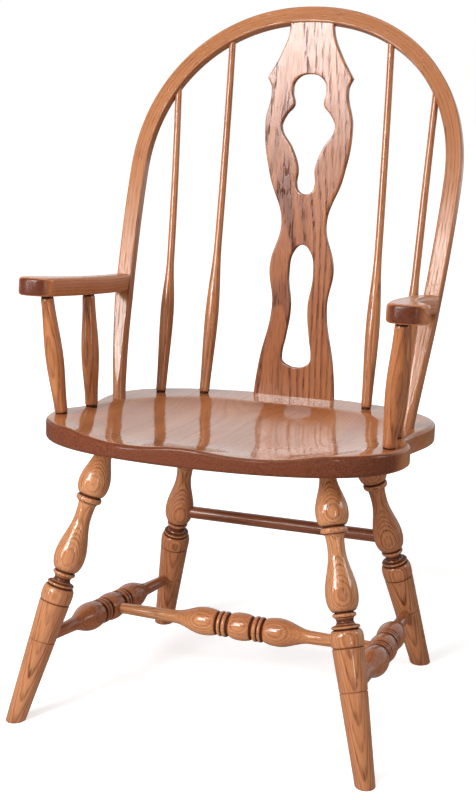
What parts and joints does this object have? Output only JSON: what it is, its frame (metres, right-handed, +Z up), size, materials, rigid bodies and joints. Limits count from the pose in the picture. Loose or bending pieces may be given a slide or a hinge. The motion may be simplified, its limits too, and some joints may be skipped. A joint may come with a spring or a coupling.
{
  "type": "fiddleback windsor armchair",
  "caption": "Bow-back wooden armchair with a pierced fiddle-shaped splat, bent spindles, dished plank seat, flat arms on turned posts and raked turned legs tied by stretchers.",
  "frame": {"origin": "on the floor, at the middle of the chair's footprint box", "axes": "+Z up, the front of the chair faces -Y, the sitter's left hand is at +X"},
  "size_m": [0.6312, 0.5653, 1.0516],
  "materials": {
    "oak_seat": "gloss lacquer",
    "oak_bow": "gloss lacquer",
    "oak_splat": "gloss lacquer",
    "oak_legs": "gloss lacquer",
    "oak_stretchers": "gloss lacquer",
    "oak_spindles": "gloss lacquer",
    "oak_arms": "gloss lacquer",
    "oak_posts": "gloss lacquer"
  },
  "bodies": {
    "root": {"seat": "oak_seat", "bow": "oak_bow", "splat": "oak_splat", "leg_front_left": "oak_legs", "leg_front_right": "oak_legs", "leg_rear_left": "oak_legs", "leg_rear_right": "oak_legs", "stretcher_side_left": "oak_stretchers", "stretcher_side_right": "oak_stretchers", "stretcher_centre": "oak_stretchers", "stretcher_rear": "oak_stretchers", "spindle_inner_left": "oak_spindles", "spindle_inner_right": "oak_spindles", "spindle_outer_left": "oak_spindles", "spindle_outer_right": "oak_spindles", "arm_left": "oak_arms", "arm_right": "oak_arms", "arm_post_front_left": "oak_posts", "arm_post_front_right": "oak_posts", "arm_post_rear_left": "oak_posts", "arm_post_rear_right": "oak_posts"}
  },
  "joints": []
}
